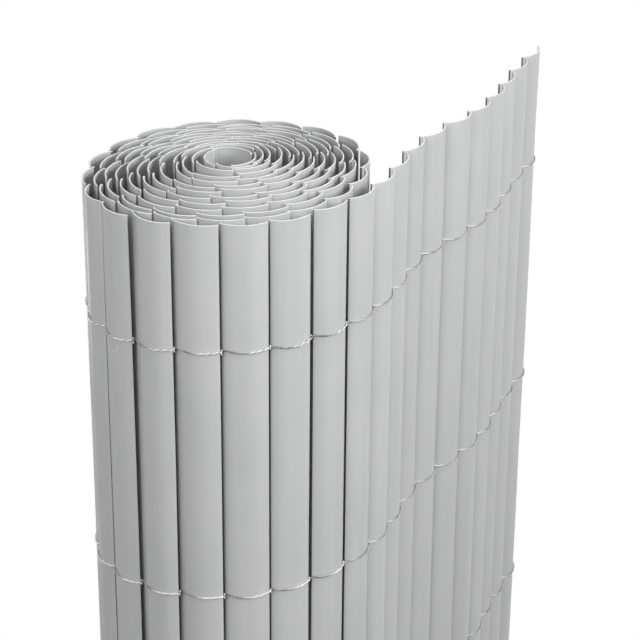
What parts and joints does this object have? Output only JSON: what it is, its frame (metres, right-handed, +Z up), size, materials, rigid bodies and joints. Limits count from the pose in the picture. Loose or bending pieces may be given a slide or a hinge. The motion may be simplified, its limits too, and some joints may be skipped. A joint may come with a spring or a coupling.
{
  "type": "rolled slat privacy screen",
  "caption": "Standing roll of overlapping bowed plastic slats tied by clear thread, with its loose end swung out; unrolls as a garden or balcony screen.",
  "frame": {"origin": "on the floor, under the middle of the whole screen in plan", "axes": "+Z up along the slats, +Y to the back, +X to the side where the loose end swings out"},
  "size_m": [0.2194, 0.2332, 1.0063],
  "materials": {
    "slat_pvc": "smooth extruded, satin",
    "thread_nylon": "clear twisted thread"
  },
  "bodies": {
    "root": {"turn_01": "slat_pvc", "turn_02": "slat_pvc", "turn_03": "slat_pvc", "turn_04": "slat_pvc", "turn_05": "slat_pvc", "turn_06": "slat_pvc", "turn_07": "slat_pvc", "turn_08": "slat_pvc", "turn_09": "slat_pvc", "turn_10": "slat_pvc", "turn_11": "slat_pvc", "turn_12": "slat_pvc", "turn_13": "slat_pvc", "loose_end": "slat_pvc", "tie_thread_1": "thread_nylon", "tie_thread_2": "thread_nylon", "tie_thread_3": "thread_nylon", "tie_thread_4": "thread_nylon", "tie_thread_5": "thread_nylon", "tie_thread_6": "thread_nylon", "tie_thread_7": "thread_nylon", "tie_thread_8": "thread_nylon"}
  },
  "joints": []
}
